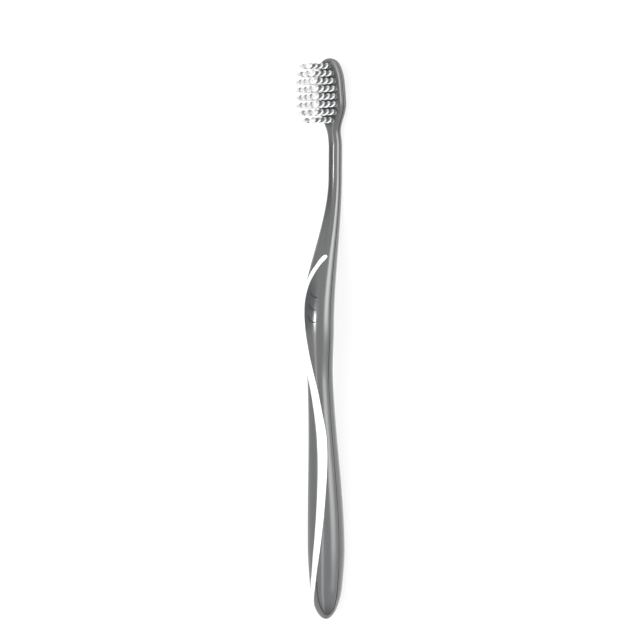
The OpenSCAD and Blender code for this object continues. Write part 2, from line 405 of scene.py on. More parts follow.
class NodeGraph:
    """A node tree with short calls that add nodes and join their sockets."""

    COLOUR_MIX_INPUTS = (0, 6, 7)
    COLOUR_MIX_OUTPUT = 2

    def __init__(self, tree: bpy.types.NodeTree) -> None:
        """Keep the tree."""
        self.tree = tree

    def add(self, kind: str, inputs: dict | None = None, **settings: object) -> bpy.types.Node:
        """Add a node.

        Args:
            kind: Type name of the node.
            inputs: Value or source of each input, by the input's name or number.
            settings: Properties of the node itself.

        Returns:
            The node.
        """
        node = self.tree.nodes.new(kind)
        for name, value in settings.items():
            setattr(node, name, value)
        for key, value in (inputs or {}).items():
            if isinstance(key, str):
                self.feed(next(s for s in node.inputs if s.name == key and s.enabled), value)
            else:
                self.feed(node.inputs[key], value)
        return node

    def out(self, kind: str, inputs: dict | None = None, output: str | int = 0, **settings: object) -> Wire:
        """Add a node and take one of its outputs, by its name or number."""
        return Wire(self, self.add(kind, inputs, **settings).outputs[output])

    def feed(self, socket: Socket, value: object) -> None:
        """Join a source to an input, or set the input's own value.

        Args:
            socket: Input to feed.
            value: Source, or a plain value.
        """
        if isinstance(value, Wire):
            self.tree.links.new(value.socket, socket)
        else:
            socket.default_value = value

    def math(self, operation: str, *values: object) -> Wire:
        """Arithmetic on numbers, by the operation's name, such as ADD."""
        return self.out("ShaderNodeMath", dict(enumerate(values)), operation=operation)

    def vector(self, x: object, y: object, z: object) -> Wire:
        """Vector from three numbers."""
        return self.out("ShaderNodeCombineXYZ", {"X": x, "Y": y, "Z": z})

    def split(self, vector: Wire) -> list[Wire]:
        """The three numbers of a vector."""
        return [Wire(self, part) for part in self.add("ShaderNodeSeparateXYZ", {"Vector": vector}).outputs]

    def attribute(self, name: str) -> Wire:
        """Number that the mesh stores under a name."""
        return self.out("ShaderNodeAttribute", output="Fac", attribute_name=name)

    def noise(self, place: Wire, scale: float, detail: float) -> Wire:
        """Cloudy noise from 0 to 1."""
        return self.out("ShaderNodeTexNoise", {"Vector": place, "Scale": scale, "Detail": detail}, "Fac")

    def mix(self, factor: Wire, first: object, second: object, blend: str = "MIX") -> Wire:
        """Colour between two colours."""
        given = dict(zip(self.COLOUR_MIX_INPUTS, (factor, first, second)))
        return self.out("ShaderNodeMix", given, self.COLOUR_MIX_OUTPUT, data_type="RGBA", blend_type=blend)

    def smooth_range(
        self, value: Wire, low: object, high: object, first: object = 0.0, last: object = 1.0
    ) -> Wire:
        """Smooth step of a value, from the first result at the low end to the last at the high end."""
        given = {"Value": value, "From Min": low, "From Max": high, "To Min": first, "To Max": last}
        return self.out("ShaderNodeMapRange", given, interpolation_type="SMOOTHSTEP")


class GrowTree(NodeGraph):
    """Geometry tree with named inputs, which grows pieces from seed meshes."""

    def __init__(self, name: str, values: dict[str, object]) -> None:
        """Start the tree.

        Args:
            name: Name of the tree.
            values: Value of each named input, whose type gives the kind of input.
        """
        super().__init__(bpy.data.node_groups.new(name, "GeometryNodeTree"))
        self.values = values
        sockets = self.tree.interface
        sockets.new_socket("Geometry", in_out="INPUT", socket_type="NodeSocketGeometry")
        for title, value in values.items():
            kind = next(kind for cls, kind in INPUT_KINDS.items() if isinstance(value, cls))
            sockets.new_socket(title, in_out="INPUT", socket_type=kind)
        sockets.new_socket("Geometry", in_out="OUTPUT", socket_type="NodeSocketGeometry")
        self.given = self.add("NodeGroupInput").outputs

    def __getitem__(self, title: str) -> Wire:
        """Source of a named input's value."""
        return Wire(self, self.given[title])

    def copied_line(self, rings: int, amount: Wire) -> tuple[Wire, Wire, Wire]:
        """Copies of a straight line, to be bent afterwards.

        Args:
            rings: Number of points in each copy.
            amount: Number of copies.

        Returns:
            The copies, the number of each copy, and each point's share of its copy's length.
        """
        line = self.out("GeometryNodeCurvePrimitiveLine")
        points = self.out("GeometryNodeResampleCurve", {"Curve": line, "Count": rings})
        given = {"Geometry": points, "Amount": amount}
        copies = self.add("GeometryNodeDuplicateElements", given, domain="SPLINE").outputs
        share = self.out("GeometryNodeSplineParameter", output="Factor")
        return Wire(self, copies[0]), Wire(self, copies["Duplicate Index"]), share

    def swept(self, curve: Wire, profile: Wire, scale: Wire) -> Wire:
        """Mesh of a profile that runs along a curve, with closed ends."""
        given = {"Curve": curve, "Profile Curve": profile, "Scale": scale, "Fill Caps": True}
        return self.out("GeometryNodeCurveToMesh", given)

    def marked(self, geometry: Wire, name: str, value: Wire) -> Wire:
        """The geometry with a number stored on its points."""
        given = {"Geometry": geometry, "Name": name, "Value": value}
        return self.out("GeometryNodeStoreNamedAttribute", given, data_type="FLOAT", domain="POINT")

    def smooth(self, geometry: Wire) -> Wire:
        """The geometry with smooth shading."""
        return self.out("GeometryNodeSetShadeSmooth", {"Geometry": geometry, "Shade Smooth": True})

    def close(self, geometry: Wire) -> None:
        """End the tree with real geometry that wears the finish."""
        whole = self.out("GeometryNodeRealizeInstances", {"Geometry": geometry})
        dressed = self.out("GeometryNodeSetMaterial", {"Geometry": whole, "Material": self["Finish"]})
        self.add("NodeGroupOutput", {"Geometry": dressed})

    def grow(self, name: str, seed_mesh: bpy.types.Mesh) -> Piece:
        """Run the tree on a seed mesh and keep the result as a plain mesh.

        Args:
            name: Name of the finished piece.
            seed_mesh: Mesh that the tree grows from.

        Returns:
            The finished object, without a modifier.
        """
        seed = bpy.data.objects.new(f"{name}_seed", seed_mesh)
        bpy.context.scene.collection.objects.link(seed)
        modifier = seed.modifiers.new("grow", "NODES")
        modifier.node_group = self.tree
        for item in self.tree.interface.items_tree:
            if item.in_out == "INPUT" and item.name in self.values:
                modifier[item.identifier] = self.values[item.name]
        bpy.context.view_layer.update()
        depsgraph = bpy.context.evaluated_depsgraph_get()
        mesh = bpy.data.meshes.new_from_object(
            seed.evaluated_get(depsgraph), preserve_all_data_layers=True, depsgraph=depsgraph
        )
        mesh.name = name
        bpy.data.objects.remove(seed)
        piece = bpy.data.objects.new(name, mesh)
        bpy.context.scene.collection.objects.link(piece)
        return piece


class FinishGraph(NodeGraph):
    """Graph of a material with a Principled shader."""

    def __init__(self, name: str) -> None:
        """Start the material under its name."""
        self.material = bpy.data.materials.new(name)
        self.material.use_nodes = True
        super().__init__(self.material.node_tree)

    def place(self) -> Wire:
        """Place on the object, in metres."""
        return self.out("ShaderNodeTexCoord", output="Object")

    def shaded(self, inputs: dict[str, object]) -> Material:
        """Give the shader its values and sources.

        Args:
            inputs: Value or source of each of the shader's inputs, by name.

        Returns:
            The finished material.
        """
        shader = self.tree.nodes["Principled BSDF"]
        for name, value in inputs.items():
            self.feed(shader.inputs[name], value)
        return self.material


@dataclass(frozen=True)
class ButtLine:
    """Painted shade of the moulding line where it turns round the butt and climbs to the ribbon, as an oval
    on the near side, with no groove modelled under it and a painted shadow inside it towards the butt's end.

    Its level is measured at 45 degrees up and across, and its nearness at right angles to that.
    """

    half_brush: float = 94.0
    middle_place: float = 13.9
    middle_level: float = 2.86
    half_length: float = 12.1
    half_width: float = 3.65
    line_fade: Span = (0.078, 0.26)
    line_painted_shade: float = 0.75
    painted_shadow_share: float = 0.5
    painted_shadow_run: Span = (-12.0, -6.5)
    painted_shadow_edge: Span = (0.0, 0.15)
    level_run: Span = (0.6, 1.4)
    ribbon_run: Span = (-1.2, -0.4)
    near_run: Span = (3.7, 4.7)

    def share(self, graph: FinishGraph, place: Wire) -> Wire:
        """How much painted shade a point takes, from 0 to 1, on the painted line or in the painted shadow
        inside it towards the butt's end.

        Args:
            graph: Graph of the material.
            place: Place on the object.

        Returns:
            The share.
        """
        x, y, z = (part / MM for part in graph.split(place))
        level = (z + y) * math.sqrt(0.5)
        nearness = (z - y) * math.sqrt(0.5)
        along = x + (self.half_brush - self.middle_place)
        pair = ((along, self.half_length), (level - self.middle_level, self.half_width))
        squares = [(value / half) ** 2.0 for value, half in pair]
        slopes = [(value / (half * half)) ** 2.0 for value, half in pair]
        steepness = graph.math("SQRT", slopes[0] + slopes[1]) * 2.0
        off = (squares[0] + squares[1] - 1.0) / steepness
        # painted shade: a dark line where the moulding line's groove turns round the butt
        line = graph.smooth_range(abs(off), *self.line_fade, self.line_painted_shade, 0.0)
        line = line * graph.smooth_range(level, *self.level_run)
        line = line * graph.smooth_range(along, *self.ribbon_run, 1.0, 0.0)
        # painted shadow: darker inside the line towards the butt's end
        painted_shadow = graph.smooth_range(along, *self.painted_shadow_run, self.painted_shadow_share, 0.0)
        painted_shadow = painted_shadow * graph.smooth_range(off, *self.painted_shadow_edge, 1.0, 0.0)
        return graph.math("MAXIMUM", line, painted_shadow) * graph.smooth_range(nearness, *self.near_run)


@dataclass(frozen=True)
class SmokePlastic:
    """Smoke-grey plastic with a satin gloss, slightly cloudy, with a fine moulded skin, darker and without
    gloss where shade is painted.
    """

    name: str = "smoke_grey_plastic"
    deep: Colour = (0.071, 0.073, 0.075, 1.0)
    pale: Colour = (0.076, 0.078, 0.080, 1.0)
    # painted shade: tone that multiplies the plastic's colour in the moulding line's groove, round the butt
    # and on the thumb ribs
    painted_shade_tone: Colour = (0.25, 0.25, 0.25, 1.0)
    cloud_scale: float = 60.0
    cloud_detail: float = 3.0
    cloud_span: Span = (0.1, 0.9)
    grain_scale: float = 2600.0
    grain_detail: float = 2.0
    grain_height: float = 0.000004
    roughness: Span = (0.28, 0.31)
    specular: float = 0.5
    coat: float = 1.0
    coat_roughness: float = 0.12
    butt_line: ButtLine = ButtLine()

    def build(self) -> Material:
        """Make the material.

        Returns:
            The finished material.
        """
        graph = FinishGraph(self.name)
        place = graph.place()
        cloud = graph.noise(place, self.cloud_scale, self.cloud_detail)
        grain = graph.noise(place, self.grain_scale, self.grain_detail)
        # painted shade of the moulding line's groove, the butt's line and the thumb ribs darkens the colour
        # and takes the gloss away
        seam = graph.math("MAXIMUM", graph.attribute(MouldLine.PAINTED_SHADE), self.butt_line.share(graph, place))
        tint = graph.mix(cloud, self.deep, self.pale)
        bump = {"Height": grain, "Distance": self.grain_height}
        return graph.shaded(
            {
                "Base Color": graph.mix(seam, tint, self.painted_shade_tone, "MULTIPLY"),
                "Roughness": graph.smooth_range(cloud, *self.cloud_span, *self.roughness),
                "Specular IOR Level": graph.smooth_range(seam, 0.0, 1.0, self.specular, 0.0),
                "Coat Weight": graph.smooth_range(seam, 0.0, 1.0, self.coat, 0.0),
                "Coat Roughness": self.coat_roughness,
                "Normal": graph.out("ShaderNodeBump", bump, "Normal"),
            }
        )


@dataclass(frozen=True)
class WhiteInlay:
    """White moulded plastic of the ribbon, a little softer than the handle."""

    name: str = "white_inlay_plastic"
    deep: Colour = (0.86, 0.86, 0.87, 1.0)
    pale: Colour = (0.9, 0.9, 0.91, 1.0)
    cloud_scale: float = 90.0
    cloud_detail: float = 3.0
    cloud_span: Span = (0.3, 0.7)
    roughness: Span = (0.3, 0.4)
    glow_through: float = 0.1
    glow_depth: float = 0.0004

    def build(self) -> Material:
        """Make the material.

        Returns:
            The finished material.
        """
        graph = FinishGraph(self.name)
        cloud = graph.noise(graph.place(), self.cloud_scale, self.cloud_detail)
        return graph.shaded(
            {
                "Base Color": graph.mix(cloud, self.deep, self.pale),
                "Roughness": graph.smooth_range(cloud, *self.cloud_span, *self.roughness),
                "Subsurface Weight": self.glow_through,
                "Subsurface Scale": self.glow_depth,
            }
        )


@dataclass(frozen=True)
class WhiteNylon:
    """White nylon bristles, with painted shade deep in their tuft and on its side towards the head's tip,
    and a painted glow at their tips and on their crests towards the grip.
    """

    name: str = "white_nylon"
    outer: Colour = (0.93, 0.93, 0.93, 1.0)
    # painted shade: the dark colour of the clefts between the coils and of the tuft's side towards the
    # head's tip
    inner: Colour = (0.1, 0.105, 0.11, 1.0)
    roughness: float = 0.35
    # painted glow: the strands give off light though they are no lamp
    painted_glow_strength: float = 0.45

    def build(self) -> Material:
        """Make the material.

        Returns:
            The finished material.
        """
        graph = FinishGraph(self.name)
        return graph.shaded(
            {
                "Base Color": graph.mix(graph.attribute(TuftTree.PAINTED_LIGHT_AND_SHADE), self.inner, self.outer),
                "Roughness": self.roughness,
                "Emission Color": self.outer,
                # painted glow
                "Emission Strength": graph.attribute(TuftTree.PAINTED_GLOW) * self.painted_glow_strength,
            }
        )


@dataclass(frozen=True)
class AnchorBrass:
    """Bright brass strip of the anchors, brushed along its length by the stamping."""

    name: str = "anchor_brass"
    colour: Colour = (0.72, 0.56, 0.3, 1.0)
    stretch: Point = (0.1, 1.0, 1.0)
    brush_scale: float = 4000.0
    brush_detail: float = 2.0
    brush_span: Span = (0.3, 0.7)
    roughness: Span = (0.25, 0.45)

    def build(self) -> Material:
        """Make the material.

        Returns:
            The finished material.
        """
        graph = FinishGraph(self.name)
        stretched = graph.out("ShaderNodeMapping", {"Vector": graph.place(), "Scale": self.stretch})
        brush = graph.noise(stretched, self.brush_scale, self.brush_detail)
        return graph.shaded(
            {
                "Base Color": self.colour,
                "Metallic": 1.0,
                "Roughness": graph.smooth_range(brush, *self.brush_span, *self.roughness),
            }
        )


@dataclass(frozen=True)
class RibbonCourse:
    """Course of the ribbon along the front of the grip, and the groove that holds it.

    The edges are given as the share of the ribbon's run, then the near and the far edge as shares of the
    handle's half width.
    """

    start: float = 4.4
    end: float = 121.9
    depth: float = 0.7
    proud: float = 0.12
    gap: float = 0.1
    lip: float = 0.08
    end_ramp: float = 0.5
    spread: float = 2.0
    spread_run: float = 8.0
    spread_limit: float = 12.0
    edge_shares: tuple[Point, ...] = (
        (0.000, -0.72, -0.80),
        (0.008, -0.59, -0.86),
        (0.030, -0.36, -0.82),
        (0.056, -0.17, -0.66),
        (0.100, 0.03, -0.40),
        (0.156, 0.27, -0.21),
        (0.214, 0.46, -0.06),
        (0.271, 0.61, 0.06),
        (0.329, 0.74, 0.16),
        (0.386, 0.85, 0.24),
        (0.444, 0.91, 0.27),
        (0.502, 0.90, 0.21),
        (0.559, 0.75, 0.01),
        (0.617, 0.50, -0.32),
        (0.660, 0.19, -0.70),
        (0.703, -0.06, -0.86),
        (0.746, -0.17, -0.88),
        (0.789, -0.27, -0.88),
        (0.832, -0.40, -0.88),
        (0.875, -0.49, -0.88),
        (0.917, -0.36, -0.80),
        (0.946, -0.06, -0.53),
        (0.974, 0.38, -0.07),
        (0.984, 0.62, 0.10),
        (0.991, 0.74, 0.26),
        (0.9965, 0.77, 0.41),
        (1.000, 0.70, 0.57),
    )

    def open_share(self, place: float) -> float:
        """How far the groove is open at a place, from 0 outside the ribbon's run to 1 inside it."""
        opening = ramp(place, self.start, self.start + self.end_ramp)
        return min(opening, ramp(self.end - place, 0.0, self.end_ramp))

    def edge_share(self, place: float, column: int) -> float:
        """Edge of the ribbon as a share of the handle's half width.

        Args:
            place: Distance from the butt.
            column: 1 for the near edge, 2 for the far edge.

        Returns:
            The share, held at its end values outside the run.
        """
        table = self.edge_shares
        last = len(table) - 1
        pairs = [(table[max(i - 1, 0)], table[min(i + 1, last)]) for i in range(last + 1)]
        slopes = [(after[column] - before[column]) / (after[0] - before[0]) for before, after in pairs]
        run = min(1.0, max(0.0, (place - self.start) / (self.end - self.start)))
        return hermite(table, run, column, slopes)

    def edges(self, section: Section) -> Span:
        """Near and far edge as distances along the skin.

        Args:
            section: Outline of the handle there.

        Returns:
            Signed distances of the near and the far edge from the front's middle.
        """
        near, far = (section.arc_of_share(self.edge_share(section.place, k)) for k in (1, 2))
        outside = max(self.start - section.place, section.place - self.end, 0.0)
        extra = min(self.spread, section.perimeter / self.spread_limit)
        extra *= ramp(outside, 0.0, self.spread_run) / 2
        return near + extra, far - extra


@dataclass(frozen=True)
class MouldLine:
    """Fine line that the halves of the mould leave round the widest line of the handle.

    Its profile gives shares of the half width across, of the depth downwards, and of the painted shade that
    darkens the groove.
    """

    PAINTED_SHADE = "seam"
    half_width: float = 0.26
    depth: float = 0.1
    full_perimeter: float = 12.0
    fade_run: Span = (2.4, 3.6)
    profile: tuple[Point, ...] = (
        (-1.0, 0.0, 0.0),
        (-0.72, -0.1, 0.2),
        (-0.4, -0.6, 1.0),
        (0.0, -1.0, 1.0),
        (0.4, -0.6, 1.0),
        (0.72, -0.1, 0.2),
        (1.0, 0.0, 0.0),
    )

    def near_strength(self, place: float) -> float:
        """Share of the near line's depth and painted shade, which its turn round the butt takes over."""
        return ramp(place, *self.fade_run)

    def arcs(self, middle: float, perimeter: float, strength: float) -> list[Span]:
        """Points of the line's groove across the skin.

        Args:
            middle: Distance along the skin to the line.
            perimeter: Distance once round the skin there.
            strength: Share of the groove's full depth.

        Returns:
            Distance along the skin and height of each point.
        """
        size = min(1.0, perimeter / self.full_perimeter)
        wide, deep = size * self.half_width, strength * size * self.depth
        return [(middle + across * wide, down * deep) for across, down, _ in self.profile]


@dataclass(frozen=True)
class Handle:
    """The handle moulding, lofted from butt to tip with the ribbon's groove let into it.

    A stretch of the groove gives where its rings begin and end, from the groove's end there, and their step.
    """

    NAME = "handle_moulding"
    form: HandleForm
    course: RibbonCourse
    line: MouldLine = MouldLine()
    side_columns: int = 22
    back_columns: int = 44
    floor_columns: int = 7
    lip_points: int = 3
    lip_round_share: float = 0.3
    butt_rings: int = 26
    tip_rings: int = 40
    body_step: float = 0.45
    groove_foot: Point = (-0.3, 1.2, 0.06)
    groove_bend: Point = (-8.0, -0.8, 0.13)
    groove_nose: Point = (-0.8, 0.3, 0.04)
    end_len: float = 1.0
    least_step: float = 0.03

    def places(self) -> list[float]:
        """Places of the rings, closer together where the form turns quickly.

        Returns:
            Distances from the butt, in order.
        """
        form, course = self.form, self.course
        rings = list(np.arange(form.butt_round_len, form.length - form.head_round_len, self.body_step))
        for end, (first, last, step) in (
            (course.start, self.groove_foot),
            (course.end, self.groove_bend),
            (course.end, self.groove_nose),
        ):
            rings += list(np.arange(end + first, end + last, step))
        for i in range(self.butt_rings):
            rings.append(form.butt_round_len * (1 - math.cos(math.pi / 2 * i / self.butt_rings)))
        for i in range(self.tip_rings + 1):
            gap = 1 - math.sin(math.pi / 2 * i / self.tip_rings)
            rings.append(form.length - form.head_round_len * gap)
        rings.sort()
        kept = [rings[0]]
        for place in rings[1:]:
            at_end = min(place, form.length - place) < self.end_len
            if place > kept[-1] and (at_end or place - kept[-1] > self.least_step):
                kept.append(place)
        return kept

    def ring(self, place: float) -> list[Point]:
        """Points of one ring, from the groove's far lip through its floor and round the skin.

        Args:
            place: Distance from the butt.

        Returns:
            Points in metres.
        """
        section = self.form.section(place)
        near, far = self.course.edges(section)
        opened = self.course.open_share(place)
        gap, lip, depth = (opened * v for v in (self.course.gap, self.course.lip, self.course.depth))
        low, high = far - gap, near + gap
        bevel = self.lip_round_share * lip
        groove = [(low - lip, 0.0), (low - bevel, -bevel), (low, -lip)]
        for k in range(self.floor_columns):
            groove.append((low + (high - low) * k / (self.floor_columns - 1), -depth))
        groove += [(high, -lip), (high + bevel, -bevel), (high + lip, 0.0)]
        perimeter = section.perimeter
        near_line = self.line.arcs(perimeter / 4, perimeter, self.line.near_strength(place))
        far_line = self.line.arcs(perimeter * 3 / 4, perimeter, 1.0)
        skin = self.between(high + lip, near_line[0][0], self.side_columns) + near_line
        skin += self.between(near_line[-1][0], far_line[0][0], self.back_columns) + far_line
        skin += self.between(far_line[-1][0], low - lip + perimeter, self.side_columns)
        return [section.at(arc, lift) for arc, lift in groove + skin]

    def painted_shade_shares(self, place: float) -> list[float]:
        """How much painted shade each point of a ring takes from the moulding line.

        Args:
            place: Distance from the butt.

        Returns:
            A share from 0 to 1 for each point.
        """
        plain = [0.0] * (2 * self.lip_points + self.floor_columns + self.side_columns)
        far = [tone for _, _, tone in self.line.profile]
        near = [tone * self.line.near_strength(place) for tone in far]
        return plain + near + [0.0] * self.back_columns + far + [0.0] * self.side_columns

    @staticmethod
    def between(first: float, last: float, count: int) -> list[Span]:
        """Points of the plain skin between two distances, without the ends."""
        return [(first + (last - first) * (k + 1) / (count + 1), 0.0) for k in range(count)]

    def build(self, finish: Material) -> Piece:
        """Make the moulding.

        Args:
            finish: Its material.

        Returns:
            The finished piece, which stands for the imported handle.
        """
        places = self.places()
        piece = lofted(self.NAME, [self.ring(place) for place in places], finish)
        # painted shade in the moulding line's groove, a share for each point
        seam = piece.data.attributes.new(MouldLine.PAINTED_SHADE, "FLOAT", "POINT")
        seam.data.foreach_set("value", [share for place in places for share in self.painted_shade_shares(place)])
        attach(piece, ROOT_BODY)
        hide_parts("handle_body")
        return piece


@dataclass(frozen=True)
class Ribbon:
    """White ribbon that fills the groove and stands a little proud of the grip."""

    NAME = "ribbon_strip"
    form: HandleForm
    course: RibbonCourse
    rings: int = 520
    crown_columns: int = 15
    crown_power: int = 5
    edge_drop: float = 0.4
    bunch_share: float = 0.9

    def ring(self, run: float) -> list[Point]:
        """Points of one ring, over the crown from far to near and back along the underside.

        Args:
            run: Share of the ribbon's run from its lower end.

        Returns:
            Points in metres.
        """
        course = self.course
        place = course.start + (course.end - course.start) * run
        section = self.form.section(place)
        near, far = course.edges(section)
        opened = course.open_share(place)
        crown = []
        for k in range(self.crown_columns):
            across = k / (self.crown_columns - 1)
            swell = math.sqrt(1 - abs(2 * across - 1) ** self.crown_power)
            lift = opened * course.proud * ((1 + self.edge_drop) * swell - self.edge_drop)
            crown.append(section.at(far + (near - far) * across, lift))
        floor = -opened * (course.depth - course.gap)
        return crown + [section.at(near, floor), section.at(far, floor)]

    def build(self, finish: Material) -> Piece:
        """Make the ribbon.

        Args:
            finish: Its material.

        Returns:
            The finished piece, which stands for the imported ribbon.
        """
        steps = [i / self.rings for i in range(self.rings + 1)]
        runs = [v - self.bunch_share * math.sin(2 * math.pi * v) / (2 * math.pi) for v in steps]
        piece = lofted(self.NAME, [self.ring(run) for run in runs], finish)
        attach(piece, ROOT_BODY)
        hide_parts("ribbon_inlay")
        return piece


@dataclass(frozen=True)
class ThumbRibs:
    """Curved ribs that stand proud of the thumb swell, drawn over the skin of the grip, darkened and without
    gloss by painted shade.
    """

    NAME = "thumb_ribs"
    count: int = 3
    place: float = 110.0
    pitch: float = 4.1
    start: float = 0.3
    reach: float = 3.4
    drop: float = 2.4
    width: float = 0.6
    height: float = 0.3
    shade: float = 0.65
    least_size: float = 0.3
    rings: int = 40
    sides: int = 12
    ray_start: float = 0.05
    ray_length: float = 0.1

    def tree(self, values: dict[str, object]) -> GrowTree:
        """Geometry tree that draws one arc, copies it up the grip and sweeps it with a flat oval.

        Args:
            values: Value of each named input, with lengths in metres.

        Returns:
            The tree.
        """
        tree = GrowTree("ribs_on_skin", values)
        arcs, number, share = tree.copied_line(self.rings, tree["Count"])
        turn = share * (math.pi / 2)
        across = tree["Reach"] * (1.0 - tree.math("COSINE", turn)) - tree["Start"]
        down = number * tree["Pitch"] + tree["Drop"] * tree.math("SINE", turn)
        grip = tree.add("GeometryNodeObjectInfo", {"Object": tree["Grip"]}, transform_space="RELATIVE")
        ray = {
            "Target Geometry": Wire(tree, grip.outputs["Geometry"]),
            "Source Position": tree.vector(tree["First"] - down, across * -1.0, self.ray_start),
            "Ray Direction": (0.0, 0.0, -1.0),
            "Ray Length": self.ray_length,
        }
        hit = tree.add("GeometryNodeRaycast", ray).outputs
        spot = Wire(tree, hit["Hit Position"])
        laid = tree.out("GeometryNodeSetPosition", {"Geometry": arcs, "Position": spot})
        turned = tree.add("GeometryNodeSetCurveNormal", {"Curve": laid}, mode="FREE")
        tree.feed(turned.inputs["Normal"], Wire(tree, hit["Hit Normal"]))
        size = tree.math("MAXIMUM", tree.math("SINE", share * math.pi) ** 0.5, self.least_size)
        circle = tree.out("GeometryNodeCurvePrimitiveCircle", {"Resolution": self.sides, "Radius": 1.0})
        scale = tree.vector(tree["Height"], tree["Width"] / 2.0, 1.0)
        oval = tree.out("GeometryNodeTransform", {"Geometry": circle, "Scale": scale})
        swept = tree.swept(Wire(tree, turned.outputs[0]), oval, size)
        # the ribs carry painted shade at their shade share
        tree.close(tree.smooth(tree.marked(swept, MouldLine.PAINTED_SHADE, tree["Shade"])))
        return tree

    def build(self, form: HandleForm, handle: Piece, finish: Material) -> Piece:
        """Make the ribs on the finished handle.

        Args:
            form: The handle's form.
            handle: The finished handle, on whose skin the ribs lie.
            finish: Their material.

        Returns:
            The finished piece.
        """
        values = {
            "Grip": handle,
            "Count": self.count,
            "First": (self.place - form.length / 2) * MM,
            "Pitch": self.pitch * MM,
            "Start": self.start * MM,
            "Reach": self.reach * MM,
            "Drop": self.drop * MM,
            "Width": self.width * MM,
            "Height": self.height * MM,
            "Shade": self.shade,
            "Finish": finish,
        }
        piece = self.tree(values).grow(self.NAME, bpy.data.meshes.new(f"{self.NAME}_seed"))
        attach(piece, ROOT_BODY)
        return piece


@dataclass(frozen=True)
class TuftPaintedLight:
    """Where light and shade are painted on a tuft, and where it is painted to glow, by shares of its radius
    outwards and sideways and of its length.
    """

    crests: Span = (0.62, 0.84)
    core: Span = (0.4, 0.75)
    core_painted_light: Span = (0.85, 0.1)
    upper: Span = (0.75, 0.92)
    cut_end: Span = (0.94, 0.975)
    side: Span = (-0.4, 0.8)
    side_painted_shade: Span = (1.0, 0.6)
    # painted glow at the cut ends and on the crests towards the grip
    painted_glow_end: Span = (0.92, 1.0)
    painted_end_glow: float = 0.08
    painted_glow_side: Span = (-0.35, -0.85)


@dataclass(frozen=True)
class TuftShape:
    """One tuft: strands that stand side by side and all wind like a corkscrew, in step with each other."""

    strands: int = 44
    length: float = 10.6
    sink: float = 0.35
    lead: float = 2.52
    start_turn: float = 160.0
    bundle_radius: float = 0.86
    coil_radius: float = 0.22
    coil_run: float = 1.0
    strand_radius: float = 0.095
    length_spread: float = 0.12
    taper_run: Span = (0.985, 1.0)
    end_size: float = 0.45
    rings: int = 44
    sides: int = 4
    seed: int = 11
    light: TuftPaintedLight = TuftPaintedLight()


